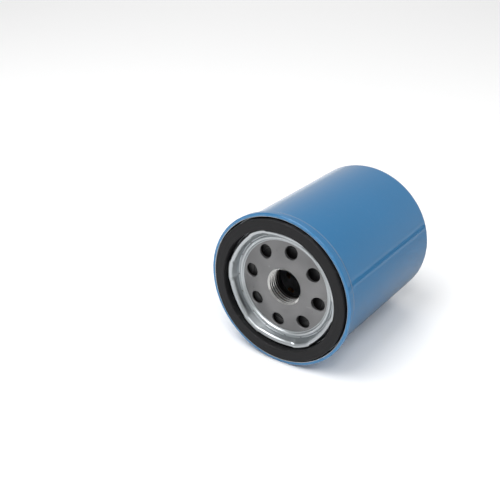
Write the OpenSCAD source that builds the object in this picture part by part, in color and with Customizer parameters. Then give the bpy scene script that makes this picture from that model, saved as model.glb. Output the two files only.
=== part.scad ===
// Spin-on oil filter. Millimetres. The filter lies on its side: its axis runs along Y, with the
// mounting end facing -Y. The origin is the centre of the threaded hole's mouth, on the outer face
// of the tapping plate. Each piece is drawn upright round Z, then laid down by lay_down().

/* [Can] */
// Outer radius of the can's straight wall
can_r = 38; // [36:0.5:40]
// Distance from the tapping plate's outer face to the top of the dome
dome_y = 86; // [84:0.5:110]
// Outside radius of the corner between wall and dome
corner_r = 3.5; // [2:0.5:6]
// Height of the dome's shallow crown
crown_h = 1.5; // [0.5:0.25:3]
// Thickness of the can's sheet
can_t = 0.35; // [0.3:0.05:0.4]

/* [Seam and lid] */
// Thickness of the lid's sheet
lid_t = 0.4; // [0.3:0.05:0.45]
// How far the seam's front stands ahead of the tapping plate's outer face
seam_front = 5; // [4.6:0.1:6]
// Height of the rolled seam along the axis
seam_h = 3; // [2.8:0.1:3.4]
// Radius of the lid's inner edge, round the bare part of the plate
lid_edge_r = 24.3; // [24.1:0.1:24.6]
// Height of the lid's lip above the plate
lip_h = 3.9; // [3.5:0.1:4.4]
// Outer radius of the lid's lip, the inner wall of the gasket channel
lip_r = 31; // [30.5:0.1:31.2]
// Number of crimps that hold the gasket in
crimp_count = 6; // [4:1:8]

/* [Gasket] */
// Inner radius of the sealing ring
gasket_inner_r = 31.8; // [31.7:0.1:32.5]
// Outer radius of the sealing ring
gasket_outer_r = 37.3; // [36.8:0.1:37.8]
// How far the sealing ring stands ahead of the seam
gasket_proud = 1.4; // [1.2:0.1:2.6]

/* [Tapping plate] */
// Thickness of the tapping plate
plate_t = 3; // [2.5:0.25:4]
// Outer radius of the tapping plate
plate_r = 35.5; // [33:0.5:37]
// Radius of the bore, at the crests of the three-quarter inch, 16-per-inch thread
bore_r = 8.75; // [8.7:0.01:8.8]
// Radius of the chamfer at the thread's mouth
mouth_r = 9.8; // [9.6:0.1:10]
// Depth of that chamfer
mouth_depth = 0.7; // [0.5:0.1:0.8]
// Length of the drawn collar that carries the thread, from the plate's outer face
collar_l = 10; // [9:0.5:12]
// How far the plate's face is pressed back where the lid's flange lies on it
dish_depth = 1.1; // [0.6:0.1:1.3]
// Outer radius of the collar
collar_r = 12.4; // [11.8:0.1:12.6]
// Number of inlet holes
inlet_count = 8; // [6:1:8]
// Radius of each inlet hole
inlet_r = 3.5; // [3:0.1:3.6]
// Diameter of the circle on which the inlet holes lie
inlet_pcd = 39.2; // [38.5:0.1:40]
// Turn of the inlet holes about the axis
inlet_phase = 10; // [0:1:45]

/* [Filter element] */
// Radius of the end caps
cap_r = 33; // [32:0.5:34]
// Thickness of the end caps
cap_t = 0.5; // [0.4:0.1:0.6]
// Outer radius of the centre tube
tube_r = 13.5; // [13.4:0.1:13.8]
// Number of folds in the paper
pleats = 36; // [28:1:44]
// Thickness of the paper
paper_t = 0.6; // [0.5:0.1:0.8]

/* [Bypass valve] */
// Radius of the valve disc
disc_r = 9.9; // [9.5:0.1:10.1]
// Radius of the valve's stem
stem_r = 1.5; // [1.4:0.05:1.6]

/* [Springs] */
// Wire radius of the support spring
support_wire_r = 0.9; // [0.7:0.05:1]
// Wire radius of the bypass spring
bypass_wire_r = 0.5; // [0.4:0.05:0.6]

/* [Hidden] */
$fn = 96;
cut = 1;                                  // how far a cutting solid runs past a face

// Seam: five layers of sheet, counted outwards from the lid's chuck wall
chuck_r = 38;
body_in_r = chuck_r + lid_t;
hook_in_r = body_in_r + can_t;
hook_out_r = hook_in_r + lid_t;
wrap_in_r = hook_out_r + can_t;
seam_r = wrap_in_r + lid_t;
seam_back = seam_front - seam_h;
hook_clear = 0.05;
seam_round = 0.6;

// Lid, and the pressed groove of the plate in which its flange lies
bead_r = 25.8;
bead_w = 1;
bead_h = 0.8;
lip_foot_r = 27.4;
lip_top_r = 29.9;
crimp_turn = 3.5;
dish_from_r = 16;
dish_flat_r = 24;
dish_end_r = 28;

// Element, measured from the plate's outer face
element_seal_t = 1.5;
cap_low = collar_l + element_seal_t;
cap_high = 71.5;
potting_t = 1.5;
cap_rim_h = 4;
media_low = cap_low + cap_t + potting_t;
media_high = cap_high - cap_t - potting_t;
tube_t = 0.5;
media_out_r = cap_r - cap_t - 0.5;
media_in_r = tube_r + 0.5;

// Bypass valve, measured from the plate's outer face
seat_in_r = 7.5;
cage_r = 11.7;
cage_t = 0.5;
cage_low = 54;
seat_face = 68.8;
seal_t = 1.2;
disc_t = 0.8;
seal_gap = 0.05;
disc_top = seat_face - seal_gap - seal_t;
disc_low = disc_top - disc_t;
clip_t = 0.6;
clip_gap = 0.2;
groove_r = 1.1;
stem_low = cage_low - clip_gap - clip_t - 1;

// Lays a piece that was drawn round Z down along Y
module lay_down() {
    rotate([-90, 0, 0]) children();
}

// Points of an arc in a section, from angle a to angle b
function arc(cx, cy, r, a, b, n = 6) =
    [for (i = [0 : n]) [cx + r * cos(a + (b - a) * i / n), cy + r * sin(a + (b - a) * i / n)]];

// A ring with a square section, from z0 to z1
module ring(r_in, r_out, z0, z1) {
    rotate_extrude() polygon([[r_in, z0], [r_out, z0], [r_out, z1], [r_in, z1]]);
}

// Half section of the dome, from the wall to the axis, for a skin of radius r ending at z
function dome_line(r, z, round_r) =
    let (shoulder = z - crown_h, flat_r = r - round_r)
    concat(
        arc(flat_r, shoulder - round_r, round_r, 0, 90),
        [for (i = [1 : 6]) let (s = 1 - i / 6) [flat_r * s, shoulder + crown_h * (1 - s * s)]]
    );

// Points of a coil's centre line: one pitch a turn, with the two end turns closed flat
function coil_point(t, turns, r0, r1, z0, z1) =
    let (u = min(max((t - 0.75) / (turns - 1.5), 0), 1), r = r0 + (r1 - r0) * t / turns)
    [r * cos(360 * t), r * sin(360 * t), z0 + (z1 - z0) * u];

// A round wire swept along a coil, as one closed solid
module coil(turns, r0, r1, z0, z1, wire_r, steps = 20, sides = 8) {
    n = round(turns * steps);
    pts = [for (i = [0 : n]) coil_point(i / steps, turns, r0, r1, z0, z1)];
    rings = [for (i = [0 : n], j = [0 : sides - 1])
        let (a = 360 * i / steps, b = 360 * j / sides, p = pts[i])
        [p[0] + wire_r * cos(b) * cos(a), p[1] + wire_r * cos(b) * sin(a), p[2] + wire_r * sin(b)]];
    skin = [for (i = [0 : n - 1], j = [0 : sides - 1])
        let (k = (j + 1) % sides, a = i * sides, b = a + sides)
        [a + j, a + k, b + k, b + j]];
    polyhedron(
        points = rings,
        faces = concat(
            skin,
            [[for (j = [0 : sides - 1]) sides - 1 - j]],
            [[for (j = [0 : sides - 1]) n * sides + j]]
        ),
        convexity = 10
    );
}

// Deep-drawn can: crowned dome, straight wall, flare, and the hook that the seam locks onto
module can_shell() {
    flare_high = 1.8;
    flare_low = 0.1;
    turn = -seam_front + lid_t;
    color("steelblue") lay_down() rotate_extrude() polygon(concat(
        [[wrap_in_r, turn], [wrap_in_r, -seam_back - 0.9], [hook_out_r, -seam_back - 0.9],
         [hook_out_r, turn + can_t], [hook_in_r, turn + can_t], [hook_in_r, flare_low],
         [can_r, flare_high]],
        dome_line(can_r, dome_y, corner_r),
        [for (i = [0 : 12]) dome_line(can_r - can_t, dome_y - can_t, corner_r - can_t)[12 - i]],
        [[can_r - can_t, flare_high], [body_in_r, flare_low], [body_in_r, turn]]
    ));
}

// Lid: flange on the plate, raised lip, gasket channel, chuck wall and the outer half of the seam
module seaming_lid() {
    wrap_low = -seam_back - lid_t;
    flange = dish_depth - lid_t;
    color("silver") lay_down() {
        rotate_extrude() polygon(concat(
            [[lid_edge_r, dish_depth], [lid_edge_r, flange], [bead_r - bead_w, flange]],
            [for (i = [1 : 5]) let (a = 180 * i / 6)
                [bead_r - bead_w * cos(a), flange - bead_h * sin(a)]],
            [[bead_r + bead_w, flange], [lip_foot_r, flange]],
            arc(lip_top_r, -lip_h + 1.1, 1.1, -150, -90, 4),
            arc(lip_r - 0.6, -lip_h + 0.6, 0.6, -80, 0, 4),
            [[lip_r, -lid_t], [chuck_r - 0.4, -lid_t], [chuck_r, -lid_t - 0.4]],
            arc(chuck_r + 0.4, -seam_front + 0.4, 0.4, 180, 270, 4),
            arc(seam_r - seam_round, -seam_front + seam_round, seam_round, 270, 360),
            arc(seam_r - 0.4, -seam_back - 0.4, 0.4, 0, 90, 4),
            [[hook_in_r, -seam_back], [hook_in_r, -seam_front + lid_t + can_t + hook_clear],
             [hook_out_r, -seam_front + lid_t + can_t + hook_clear], [hook_out_r, wrap_low],
             [wrap_in_r, wrap_low], [wrap_in_r, -seam_front + lid_t],
             [body_in_r, -seam_front + lid_t], [body_in_r, 0], [lip_r - lid_t, 0],
             [lip_r - lid_t, -lip_h + lid_t + 0.4], [lip_r - lid_t - 0.4, -lip_h + lid_t],
             [lip_top_r - 0.2, -lip_h + lid_t], [lip_top_r - 0.8, -lip_h + lid_t + 0.5],
             [lip_foot_r + 0.3, dish_depth]]
        ));
        crimps();
    }
}

// Short staked ledges on the lip that keep the gasket in its channel
module crimps() {
    crimp_w = 9.5;
    for (i = [0 : crimp_count - 1]) rotate(crimp_turn + 360 * i / crimp_count) intersection() {
        ring(lip_r - 0.3, lip_r + 0.6, -lip_h + 0.5, -lip_h + 1.1);
        translate([lip_r - 1, -crimp_w / 2, -lip_h]) cube([2, crimp_w, 2]);
    }
}

// Thick plate with the drawn, threaded collar and the ring of inlet holes
module tapping_plate() {
    back_round = 0.5;
    color("gray") lay_down() difference() {
        rotate_extrude() polygon([
            [mouth_r, 0], [dish_from_r, 0], [dish_flat_r, dish_depth], [dish_end_r, dish_depth],
            [dish_end_r + 0.3, 0], [plate_r, 0], [plate_r, plate_t], [collar_r, plate_t],
            [collar_r, collar_l], [bore_r + back_round, collar_l],
            [bore_r, collar_l - back_round], [bore_r, mouth_depth]
        ]);
        for (i = [0 : inlet_count - 1]) rotate(inlet_phase + 360 * i / inlet_count)
            translate([inlet_pcd / 2, 0, -cut]) cylinder(r = inlet_r, h = plate_t + 2 * cut);
        weld_spots();
    }
}

// Nuggets of the projection welds, sunk in the plate's face under the gasket channel
module weld_spots() {
    weld_ring_r = (plate_r + lip_r) / 2 + 0.4;
    for (i = [0 : 7]) rotate(45 * i) translate([weld_ring_r, 0, 0]) cylinder(r = 1.6, h = 0.3);
}

// Black rubber ring in the lid's channel, with softened front edges
module base_gasket() {
    out_r = gasket_outer_r;
    face = -seam_front - gasket_proud;
    soft = 0.5;
    color([0.08, 0.08, 0.09]) lay_down() rotate_extrude() polygon(concat(
        [[gasket_inner_r, -lid_t]],
        arc(gasket_inner_r + soft, face + soft, soft, 180, 270, 4),
        arc(out_r - soft, face + soft, soft, 270, 360, 4),
        [[out_r, -lid_t - 0.5], [out_r - 0.5, -lid_t]]
    ));
}

// Compound in the pocket between the can's hook and the lid's wrap
module seam_sealant() {
    color("gold") lay_down() ring(hook_out_r, wrap_in_r, -seam_back - 0.9, -seam_back - lid_t);
}

// Projection welds under the gasket, between the lid's channel and the plate
module projection_welds() {
    color("dimgray") lay_down() weld_spots();
}

// Rubber valve: a sleeve round the collar and a conical skirt that covers the inlet holes
module anti_drain_valve() {
    sleeve_in_r = collar_r + 0.08;
    rest_gap = 0.05;
    low = plate_t + rest_gap;
    color([0.06, 0.06, 0.06]) lay_down() rotate_extrude() polygon([
        [sleeve_in_r, low + 1.1], [sleeve_in_r, low + 4.6], [sleeve_in_r + 1.6, low + 4.6],
        [sleeve_in_r + 2, low + 3.2], [26, low + 1], [27.5, low + 0.9], [27.5, low],
        [25.6, low], [sleeve_in_r + 1.6, low + 1.7]
    ]);
}

// Ring between the collar's end and the element
module element_gasket() {
    color([0.1, 0.1, 0.1]) lay_down() ring(bore_r + 0.8, tube_r, collar_l, cap_low);
}

// Pressed cap at the mounting end: open in the middle, with a rim round the paper
module lower_end_cap() {
    rim = cap_low + cap_rim_h;
    color("lightgray") lay_down() rotate_extrude() polygon([
        [bore_r + 1.2, cap_low], [cap_r, cap_low], [cap_r, rim], [cap_r - cap_t, rim],
        [cap_r - cap_t, cap_low + cap_t], [bore_r + 1.2, cap_low + cap_t]
    ]);
}

// Adhesive that holds the paper in the lower cap
module lower_potting() {
    color("ivory") lay_down()
        ring(tube_r, cap_r - cap_t, cap_low + cap_t, cap_low + cap_t + potting_t);
}

// Perforated tube that the paper leans on
module centre_tube() {
    rows = 8;
    hole_r = 1.8;
    first = cap_low + 5.5;
    pitch = 5.2;
    color("silver") lay_down() difference() {
        ring(tube_r - tube_t, tube_r, cap_low + cap_t, cap_high - cap_t);
        for (i = [0 : rows - 1], j = [0 : 2])
            translate([0, 0, first + pitch * i]) rotate([0, 0, 60 * j + 30 * (i % 2)])
                rotate([0, 90, 0]) cylinder(r = hole_r, h = 2 * tube_r + 2 * cut, center = true);
    }
}

// One boundary of the folded paper: blunt at radius r_flat, sharp at radius r_sharp
function pleat_line(r_flat, r_sharp, half_w, phase) =
    [for (i = [0 : pleats - 1]) let (a = 360 * (i + phase) / pleats, w = half_w / r_flat * 180 / PI)
        each [
            [r_flat * cos(a - w), r_flat * sin(a - w)],
            [r_flat * cos(a + w), r_flat * sin(a + w)],
            [r_sharp * cos(a + 180 / pleats), r_sharp * sin(a + 180 / pleats)]
        ]];

// Star-folded filter paper
module pleated_media() {
    color("wheat") lay_down() translate([0, 0, media_low])
        linear_extrude(height = media_high - media_low) difference() {
            polygon(pleat_line(media_out_r, media_in_r + paper_t, paper_t, 0));
            polygon(pleat_line(media_in_r, media_out_r - paper_t, paper_t / 3, 0.5));
        }
}

// Folded steel strip that joins the two ends of the paper
module media_seam_clip() {
    clip_w = 2.2;
    clip_d = 2.4;
    sheet = 0.3;
    color("silver") lay_down() translate([media_out_r - clip_d + sheet, -clip_w / 2, media_low + 3])
        difference() {
            cube([clip_d, clip_w, media_high - media_low - 6]);
            translate([-cut, sheet, -cut])
                cube([clip_d - sheet + cut, clip_w - 2 * sheet, media_high - media_low]);
        }
}

// Adhesive that holds the paper in the upper cap
module upper_potting() {
    color("ivory") lay_down() ring(tube_r, cap_r - cap_t, media_high, cap_high - cap_t);
}

// Pressed cap at the domed end, with the bypass opening in its middle
module upper_end_cap() {
    rim = cap_high - cap_rim_h;
    color("lightgray") lay_down() rotate_extrude() polygon([
        [seat_in_r + 0.5, cap_high], [cap_r, cap_high], [cap_r, rim], [cap_r - cap_t, rim],
        [cap_r - cap_t, cap_high - cap_t], [seat_in_r + 0.5, cap_high - cap_t]
    ]);
}

// Seat ring of the bypass valve, with a narrow sealing lip that faces the disc
module bypass_seat() {
    low = cap_high - cap_t - 1.5;
    color("silver") lay_down() rotate_extrude() polygon([
        [seat_in_r, seat_face], [seat_in_r + 0.6, seat_face], [seat_in_r + 0.8, low],
        [cage_r - cage_t, low], [cage_r - cage_t, cap_high - cap_t], [seat_in_r, cap_high - cap_t]
    ]);
}

// Cage that hangs under the upper cap: flange, windowed wall and guide hole for the stem
module bypass_cage() {
    window_w = 8;
    window_low = cage_low + 4;
    window_h = 7.5;
    top = cap_high - cap_t;
    color("darkgray") lay_down() difference() {
        rotate_extrude() polygon([
            [stem_r + 0.06, cage_low], [cage_r, cage_low], [cage_r, top - cage_t],
            [tube_r - tube_t - 0.1, top - cage_t], [tube_r - tube_t - 0.1, top],
            [cage_r - cage_t, top], [cage_r - cage_t, cage_low + cage_t],
            [stem_r + 0.06, cage_low + cage_t]
        ]);
        for (a = [0, 90]) rotate(a) translate([-cage_r - cut, -window_w / 2, window_low])
            cube([2 * cage_r + 2 * cut, window_w, window_h]);
    }
}

// Steel disc that carries the seal
module bypass_disc() {
    color("silver") lay_down() translate([0, 0, disc_low]) cylinder(r = disc_r, h = disc_t);
}

// Rubber face of the disc
module bypass_seal() {
    color([0.1, 0.1, 0.1]) lay_down()
        translate([0, 0, disc_top]) cylinder(r = disc_r - 0.3, h = seal_t);
}

// Stem that guides the disc in the cage
module bypass_stem() {
    groove_low = cage_low - clip_gap - clip_t;
    color("silver") lay_down() rotate_extrude() polygon([
        [0, stem_low], [stem_r - 0.3, stem_low], [stem_r, stem_low + 0.3], [stem_r, groove_low],
        [groove_r, groove_low], [groove_r, groove_low + clip_t], [stem_r, groove_low + clip_t],
        [stem_r, disc_low], [0, disc_low]
    ]);
}

// Washer in the stem's groove that keeps it in the cage
module bypass_stem_clip() {
    low = cage_low - clip_gap - clip_t;
    color("dimgray") lay_down() ring(groove_r, 2.8, low, low + clip_t);
}

// Coil that presses the disc against its seat
module bypass_spring() {
    low = cage_low + cage_t + bypass_wire_r;
    color("silver") lay_down()
        coil(6, 6.5, 6.5, low + 0.01, disc_low - bypass_wire_r - 0.01, bypass_wire_r);
}

// Dished plate that centres the support spring on the element
module spring_plate() {
    sheet = 0.6;
    rim_r = 19;
    color("silver") lay_down() rotate_extrude() polygon([
        [seat_in_r + 0.5, cap_high], [rim_r, cap_high], [rim_r, cap_high + 2.4],
        [rim_r - sheet, cap_high + 2.4], [rim_r - sheet, cap_high + sheet],
        [seat_in_r + 0.5, cap_high + sheet]
    ]);
}

// Conical coil between the spring plate and the dome
module support_spring() {
    low = cap_high + 0.6 + support_wire_r;
    top_r = 25;
    high = dome_y - can_t - crown_h * pow((top_r + 1) / (can_r - corner_r), 2) - support_wire_r;
    color("silver") lay_down()
        coil(4, 14.5, top_r, low + 0.01, high - 0.1, support_wire_r);
}

can_shell();
seaming_lid();
tapping_plate();
base_gasket();
seam_sealant();
projection_welds();
anti_drain_valve();
element_gasket();
lower_end_cap();
lower_potting();
centre_tube();
pleated_media();
media_seam_clip();
upper_potting();
upper_end_cap();
bypass_seat();
bypass_cage();
bypass_disc();
bypass_seal();
bypass_stem();
bypass_stem_clip();
bypass_spring();
spring_plate();
support_spring();
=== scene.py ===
"""Visual model of a spin-on oil filter lying on its side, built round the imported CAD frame.

The filter's axis runs along Y, with the mounting end at -Y. Outlines are in millimetres.
"""

import logging
import math
from dataclasses import dataclass, field
from enum import Enum
from typing import Callable, ClassVar

import bmesh
import bpy
from mathutils import Matrix, Vector


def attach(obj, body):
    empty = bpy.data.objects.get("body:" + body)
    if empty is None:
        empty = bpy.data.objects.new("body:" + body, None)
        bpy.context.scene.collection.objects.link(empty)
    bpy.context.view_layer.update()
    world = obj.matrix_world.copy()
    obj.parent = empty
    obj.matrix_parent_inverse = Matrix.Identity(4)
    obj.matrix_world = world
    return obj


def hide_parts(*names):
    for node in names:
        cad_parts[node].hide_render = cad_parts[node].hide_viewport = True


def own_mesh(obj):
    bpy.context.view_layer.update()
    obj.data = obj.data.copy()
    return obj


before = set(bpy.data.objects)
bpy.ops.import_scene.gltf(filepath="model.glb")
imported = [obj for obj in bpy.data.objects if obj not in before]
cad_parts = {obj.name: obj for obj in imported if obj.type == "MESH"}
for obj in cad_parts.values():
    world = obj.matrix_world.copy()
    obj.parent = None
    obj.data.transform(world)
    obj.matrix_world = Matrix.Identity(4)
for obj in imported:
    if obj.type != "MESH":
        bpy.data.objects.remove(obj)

LOG = logging.getLogger("oil_filter")
MM = 0.001
Color = tuple[float, float, float, float]
Outline = list[tuple[float, float]]


# ---------- outlines

@dataclass(frozen=True)
class Corner:
    """A corner of a turned outline: distance from the axis, place along it, and fillet radius."""

    r: float
    y: float
    fillet: float = 0.0


def filleted(corners: list[Corner], step_deg: float = 15.0) -> Outline:
    """Rounds the corners of an open outline.

    Args:
        corners: the corners in order, in millimetres.
        step_deg: the largest turn between two points of a fillet.

    Returns:
        Points (r, y), with a support point beside each fillet that keeps flats flat.
    """
    points = [Vector((c.r, c.y)) for c in corners]
    line = [points[0]]
    for before, here, after, corner in zip(points, points[1:], points[2:], corners[1:]):
        into, out = (here - before).normalized(), (after - here).normalized()
        turn = math.atan2(into.x * out.y - into.y * out.x, into.dot(out))
        if corner.fillet == 0 or abs(turn) < 1e-3:
            line.append(here)
            continue
        reach = corner.fillet * math.tan(abs(turn) / 2)
        support = min(0.15, corner.fillet / 2)
        start, end = here - into * reach, here + out * reach
        if (start - line[-1]).length > 2 * support:
            line.append(start - into * support)
        steps = max(2, math.ceil(math.degrees(abs(turn)) / step_deg))
        normal = Vector((-into.y, into.x)) * math.copysign(corner.fillet, turn)
        centre = start + normal
        for i in range(steps + 1):
            line.append(centre + Matrix.Rotation(turn * i / steps, 2) @ (start - centre))
        if (after - end).length > 2 * support:
            line.append(end + out * support)
    line.append(points[-1])
    return [(p.x, p.y) for p in line]


# ---------- bench work

def clear_selection() -> None:
    """Leaves object mode with nothing selected."""
    if bpy.context.object and bpy.context.object.mode != "OBJECT":
        bpy.ops.object.mode_set(mode="OBJECT")
    bpy.ops.object.select_all(action="DESELECT")


def pick(obj: bpy.types.Object, wanted: Callable[[Vector], bool]) -> int:
    """Selects the vertices of an object in edit mode by their place.

    Args:
        obj: the object being edited.
        wanted: says whether a place, in metres, is to be selected.

    Returns:
        How many vertices are selected.
    """
    mesh = bmesh.from_edit_mesh(obj.data)
    for vert in mesh.verts:
        vert.select = not vert.hide and wanted(vert.co)
    mesh.select_flush_mode()
    bmesh.update_edit_mesh(obj.data)
    return sum(v.select for v in mesh.verts)


def take_up(obj: bpy.types.Object) -> None:
    """Makes an object the only selected one, and the active one.

    Args:
        obj: the object to work on.
    """
    clear_selection()
    obj.select_set(True)
    bpy.context.view_layer.objects.active = obj


def apply_modifier(obj: bpy.types.Object, kind: str, **values: object) -> None:
    """Adds one modifier to an object and applies it.

    Args:
        obj: the object.
        kind: the modifier's type.
        values: its settings, by name.
    """
    take_up(obj)
    modifier = obj.modifiers.new(kind.lower(), kind)
    for key, value in values.items():
        setattr(modifier, key, value)
    bpy.ops.object.modifier_apply(modifier=modifier.name)


def smooth(obj: bpy.types.Object, angle_deg: float = 32.0) -> None:
    """Shades an object smooth, with edges sharper than an angle left crisp."""
    take_up(obj)
    bpy.ops.object.shade_smooth_by_angle(angle=math.radians(angle_deg))


def start_from_point(name: str, r: float, y: float) -> bpy.types.Object:
    """Opens a new object in edit mode, with one selected vertex.

    Args:
        name: the object's name.
        r: distance from the axis.
        y: place along the axis.

    Returns:
        The new object.
    """
    clear_selection()
    bpy.ops.mesh.primitive_plane_add(size=MM)
    obj = bpy.context.object
    obj.name = obj.data.name = name
    bpy.ops.object.mode_set(mode="EDIT")
    bpy.ops.mesh.select_all(action="SELECT")
    bpy.ops.mesh.merge(type="CENTER")
    bpy.ops.transform.translate(value=(r * MM, y * MM, 0))
    return obj


def draw_outline(obj: bpy.types.Object, line: Outline, closed: bool) -> None:
    """Extrudes the start vertex along the rest of an outline, and joins its ends if it is closed.

    Args:
        obj: the object, with only the start vertex.
        line: the outline's points (r, y) in millimetres.
        closed: whether its last point joins its first.
    """
    for (r0, y0), (r1, y1) in zip(line, line[1:]):
        step = ((r1 - r0) * MM, (y1 - y0) * MM, 0)
        bpy.ops.mesh.extrude_region_move(TRANSFORM_OT_translate={"value": step})
    if closed:
        ends = [Vector((r * MM, y * MM, 0)) for r, y in (line[0], line[-1])]
        pick(obj, lambda p: min((p - e).length for e in ends) < 1e-7)
        bpy.ops.mesh.edge_face_add()


def turned(name: str, line: Outline, closed: bool = True, steps: int = 192) -> bpy.types.Object:
    """Turns an outline round the filter's axis, as on a lathe.

    Args:
        name: the piece's name.
        line: the outline's points (r, y) in millimetres.
        closed: whether the outline is a ring's section. An open one starts and ends on the axis.
        steps: how many facets go round.

    Returns:
        The turned object, in object mode.
    """
    obj = start_from_point(name, *line[0])
    draw_outline(obj, line, closed)
    bpy.ops.mesh.select_all(action="SELECT")
    bpy.ops.mesh.spin(steps=steps, angle=math.tau, center=(0, 0, 0), axis=(0, 1, 0))
    tidy_mesh(obj)
    return obj


def tidy_mesh(obj: bpy.types.Object) -> None:
    """Merges doubled points, turns the faces outwards and goes back to object mode.

    Args:
        obj: the object in edit mode; not used.
    """
    bpy.ops.mesh.select_all(action="SELECT")
    bpy.ops.mesh.remove_doubles(threshold=2e-6)
    bpy.ops.mesh.normals_make_consistent(inside=False)
    bpy.ops.object.mode_set(mode="OBJECT")


def add_ring(obj: bpy.types.Object, line: Outline, centre: tuple[float, float], facets: int) -> None:
    """Adds a hoop to the object in edit mode and extrudes it along an outline.

    Args:
        obj: the object being edited; not used.
        line: the hoop's (radius, y) at each step, in millimetres.
        centre: where the hoop's own axis crosses the XZ plane, in millimetres.
        facets: how many sides the hoop has.
    """
    x, z = (value * MM for value in centre)
    r, y = line[0]
    bpy.ops.mesh.select_all(action="DESELECT")
    bpy.ops.mesh.primitive_circle_add(
        vertices=facets, radius=r * MM, location=(x, y * MM, z), rotation=(math.pi / 2, 0, 0)
    )
    for r_next, y_next in line[1:]:
        bpy.ops.mesh.extrude_region_move(
            TRANSFORM_OT_translate={"value": (0, (y_next - y) * MM, 0)}
        )
        ratio = r_next / r
        bpy.ops.transform.resize(
            value=(ratio, 1, ratio), center_override=(x, y_next * MM, z)
        )
        r, y = r_next, y_next


def coil(name: str, mean_r: float, wire_r: float, y0: float, y1: float, turns: int) -> bpy.types.Object:
    """Winds a round wire into a cylindrical coil.

    Args:
        name: the piece's name.
        mean_r: radius of the coil's centre line, in millimetres.
        wire_r: radius of the wire.
        y0: lowest point of the coil.
        y1: highest point of the coil.
        turns: number of turns.

    Returns:
        The coil, with both ends of its wire closed.
    """
    clear_selection()
    bpy.ops.mesh.primitive_circle_add(
        vertices=16, radius=wire_r * MM, location=(mean_r * MM, (y0 + wire_r) * MM, 0)
    )
    obj = bpy.context.object
    obj.name = obj.data.name = name
    bpy.ops.object.transform_apply(location=True)
    apply_modifier(
        obj, "SCREW", axis="Y", angle=math.tau, steps=64, render_steps=64, iterations=turns,
        screw_offset=(y1 - y0 - 2 * wire_r) * MM / turns, use_merge_vertices=True,
        merge_threshold=1e-6,
    )
    bpy.ops.object.mode_set(mode="EDIT")
    bpy.ops.mesh.select_all(action="DESELECT")
    bpy.ops.mesh.select_non_manifold(extend=False)
    bpy.ops.mesh.fill()
    tidy_mesh(obj)
    return obj


# ---------- shader nodes

class Sheet:
    """A shader node tree that is being drawn."""

    def __init__(self, tree: bpy.types.NodeTree) -> None:
        """Takes the tree to draw in."""
        self.tree = tree

    def node(self, kind: str, inputs: dict | None = None, **settings: object) -> bpy.types.Node:
        """Adds a node.

        Args:
            kind: the node's type, without its ShaderNode prefix.
            inputs: values or output sockets for its inputs, by name or index.
            settings: the node's own properties.

        Returns:
            The new node.
        """
        made = self.tree.nodes.new("ShaderNode" + kind)
        for key, value in settings.items():
            setattr(made, key, value)
        for key, value in (inputs or {}).items():
            self.feed(made.inputs[key], value)
        return made

    def feed(self, socket: bpy.types.NodeSocket, value: object) -> None:
        """Links an output to a socket, or sets the socket's own value.

        Args:
            socket: the input to feed.
            value: an output to link, or a plain value.
        """
        if isinstance(value, bpy.types.NodeSocket):
            self.tree.links.new(value, socket)
        else:
            socket.default_value = value

    def math(self, operation: str, a: object, b: object = 0.0, clamp: bool = False) -> object:
        """Adds a Math node and returns its output."""
        return self.node("Math", {0: a, 1: b}, operation=operation, use_clamp=clamp).outputs[0]

    def noise(self, vector: object, scale: object, detail: float = 3.0) -> object:
        """Adds a noise texture.

        Args:
            vector: where to read it.
            scale: how fine it is, per metre.
            detail: how many finer layers it has.

        Returns:
            The noise, from 0 to 1.
        """
        return self.node(
            "TexNoise", {"Vector": vector, "Scale": scale, "Detail": detail}
        ).outputs["Fac"]

    def span(self, value: object, low: object, high: object, to: tuple = (0.0, 1.0)) -> object:
        """Maps a value smoothly from one range to another, clamped at both ends.

        Args:
            value: what to map.
            low: start of its range.
            high: end of its range.
            to: the range that it becomes.

        Returns:
            The mapped value.
        """
        return self.node(
            "MapRange",
            {"Value": value, "From Min": low, "From Max": high, "To Min": to[0], "To Max": to[1]},
            interpolation_type="SMOOTHSTEP",
        ).outputs["Result"]

    def coordinate(self, vector: object, axis: int) -> object:
        """Returns one coordinate of a vector: 0, 1 or 2 for X, Y or Z."""
        return self.node("SeparateXYZ", {0: vector}).outputs[axis]

    def radius(self, place: object) -> object:
        """Measures how far a place is from the filter's axis.

        Args:
            place: a place in metres.

        Returns:
            The distance in metres.
        """
        x, z = self.coordinate(place, 0), self.coordinate(place, 2)
        flat = self.node("CombineXYZ", {0: x, 2: z}).outputs[0]
        return self.node("VectorMath", {0: flat}, operation="LENGTH").outputs["Value"]

    def mix(self, factor: object, a: object, b: object) -> object:
        """Adds a colour mix.

        Args:
            factor: share of the second colour.
            a: the first colour.
            b: the second colour.

        Returns:
            The mixed colour.
        """
        made = self.node("Mix", data_type="RGBA")
        self.feed(made.inputs[0], factor)
        self.feed(made.inputs[6], a)
        self.feed(made.inputs[7], b)
        return made.outputs[2]


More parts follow.
